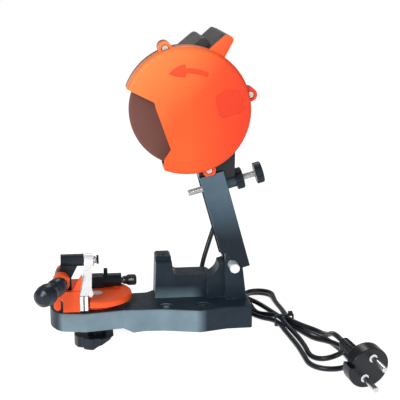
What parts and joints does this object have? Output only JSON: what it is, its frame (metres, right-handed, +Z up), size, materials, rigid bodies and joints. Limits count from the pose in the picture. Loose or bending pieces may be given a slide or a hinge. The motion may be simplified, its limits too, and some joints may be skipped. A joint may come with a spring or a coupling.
{
  "type": "chainsaw sharpener",
  "caption": "Bench-mounted electric chain grinder: cast base with a swivelling chain vice and a sprung arm that swings a guarded, motor-driven grinding disc down to the chain.",
  "frame": {"origin": "on the bench face under the base's centre line, midway between the two bench bolts", "axes": "+X towards the hinge end of the base, +Y away from the user, +Z up; the grinding disc spins about Y"},
  "size_m": [0.2962, 0.3004, 0.2984],
  "materials": {
    "cast_blue": "satin",
    "orange_cover": "gloss",
    "dark_housing": "satin",
    "black_plastic": "gloss",
    "black_steel": "satin",
    "zinc": "bright",
    "steel": "machined",
    "abrasive": "rough",
    "copper": "bare",
    "laminations": "rough",
    "carbon": "matt",
    "cord_rubber": "satin"
  },
  "bodies": {
    "base": {"base_casting": "cast_blue", "stop_pin": "zinc", "hinge_pin": "steel", "hinge_pin_clip": "steel", "angle_lock_washer": "zinc", "power_cord_tube": "cord_rubber", "cord_hank": "cord_rubber", "cable_tie": "black_plastic", "plug_body": "cord_rubber", "plug_pins": "steel"},
    "arm": {"swing_arm": "cast_blue", "arm_return_spring": "steel", "neck_screws": "zinc", "wheel_guard_cover": "orange_cover", "motor_housing_front": "dark_housing", "motor_housing_rear": "dark_housing", "guard_screws": "zinc", "housing_screws": "zinc", "front_bearing": "steel", "rear_bearing": "steel", "stator_core": "laminations", "field_coils": "copper", "brush_holders": "copper", "carbon_brushes": "carbon", "brush_springs": "steel", "switch_body": "black_plastic", "strain_relief": "cord_rubber"},
    "rotor": {"spindle": "steel", "inner_flange": "zinc", "grinding_disc": "abrasive", "outer_flange": "zinc", "disc_nut": "zinc", "armature_core": "laminations", "armature_windings": "copper", "commutator": "copper", "cooling_fan": "black_plastic"},
    "depth_rod": {"depth_stop_rod": "zinc"},
    "depth_knob": {"depth_stop_knob": "black_plastic"},
    "rod_lock": {"depth_lock_knob": "black_plastic"},
    "rocker": {"switch_rocker": "black_plastic"},
    "turntable": {"vice_turntable": "orange_cover", "fixed_jaw_rail": "zinc", "jaw_guide_screws": "zinc", "clamp_housing": "black_steel", "clamp_set_screw": "black_steel", "angle_lock_screw": "zinc"},
    "angle_knob": {"angle_lock_knob": "black_plastic"},
    "moving_jaw": {"moving_jaw_rail": "zinc"},
    "clamp": {"clamp_screw": "zinc", "clamp_wing_knob": "black_plastic"},
    "stop_carriage": {"stop_bracket": "black_steel", "pawl_pin": "steel", "pawl_pin_nut": "black_steel", "pawl_spring": "steel"},
    "stop_adjuster": {"stop_screw": "zinc", "stop_knob_collar": "black_plastic", "stop_knob_grip": "black_plastic"},
    "pawl": {"chain_stop_pawl": "zinc"}
  },
  "joints": [
    {"name": "arm_swing", "type": "hinge", "parent": "base", "child": "arm", "pos_m": [0.0485, 0.01, 0.07], "axis": [0, -1, 0], "range_deg": [0, 56], "stiffness_Nm_per_rad": 1.7, "springref_deg": -51.57},
    {"name": "wheel_spin", "type": "hinge", "parent": "arm", "child": "rotor", "pos_m": [0.0034, 0, 0.21], "axis": [0, 1, 0], "continuous": true},
    {"name": "vice_swivel", "type": "hinge", "parent": "base", "child": "turntable", "pos_m": [-0.085, 0, 0.022], "axis": [0, 0, 1], "range_deg": [-35, 35]},
    {"name": "angle_knob_turn", "type": "hinge", "parent": "turntable", "child": "angle_knob", "pos_m": [-0.085, 0, -0.013], "axis": [0, 0, 1], "range_deg": [0, 180]},
    {"name": "jaw_travel", "type": "slide", "parent": "turntable", "child": "moving_jaw", "axis": [1, 0, 0], "range_m": [-0.001, 0.0012]},
    {"name": "clamp_turn", "type": "hinge", "parent": "moving_jaw", "child": "clamp", "pos_m": [-0.093, 0.02, 0.0375], "axis": [1, 0, 0], "range_deg": [-360, 432]},
    {"name": "stop_turn", "type": "hinge", "parent": "turntable", "child": "stop_adjuster", "pos_m": [-0.1174, -0.04, 0.0545], "axis": [0, 1, 0], "range_deg": [-1008, 1008]},
    {"name": "stop_travel", "type": "slide", "parent": "turntable", "child": "stop_carriage", "axis": [0, 1, 0], "range_m": [-0.0035, 0.0035]},
    {"name": "pawl_flip", "type": "hinge", "parent": "stop_carriage", "child": "pawl", "pos_m": [-0.091, -0.02, 0.0716], "axis": [-1, 0, 0], "range_deg": [0, 95], "stiffness_Nm_per_rad": 0.004, "springref_deg": -34.38},
    {"name": "depth_turn", "type": "hinge", "parent": "depth_rod", "child": "depth_knob", "pos_m": [0.07449, 0.012, 0.14466], "axis": [0.9636, 0, 0.2672], "range_deg": [0, 2880]},
    {"name": "depth_travel", "type": "slide", "parent": "arm", "child": "depth_rod", "axis": [0.9636, 0, 0.2672], "range_m": [0, 0.008]},
    {"name": "rod_lock_turn", "type": "hinge", "parent": "arm", "child": "rod_lock", "pos_m": [0.05618, 0.012, 0.13958], "axis": [0.9636, 0, 0.2672], "range_deg": [0, 180]},
    {"name": "switch_rock", "type": "hinge", "parent": "arm", "child": "rocker", "pos_m": [0.0524, 0.08375, 0.215], "axis": [0, 0, 1], "range_deg": [0, 16]}
  ],
  "couplings": [
    {"joint": "clamp_turn", "follows": "jaw_travel", "rad_per_m": 6283.2},
    {"joint": "stop_turn", "follows": "stop_travel", "rad_per_m": 5026.5},
    {"joint": "depth_turn", "follows": "depth_travel", "rad_per_m": 6283.2}
  ]
}
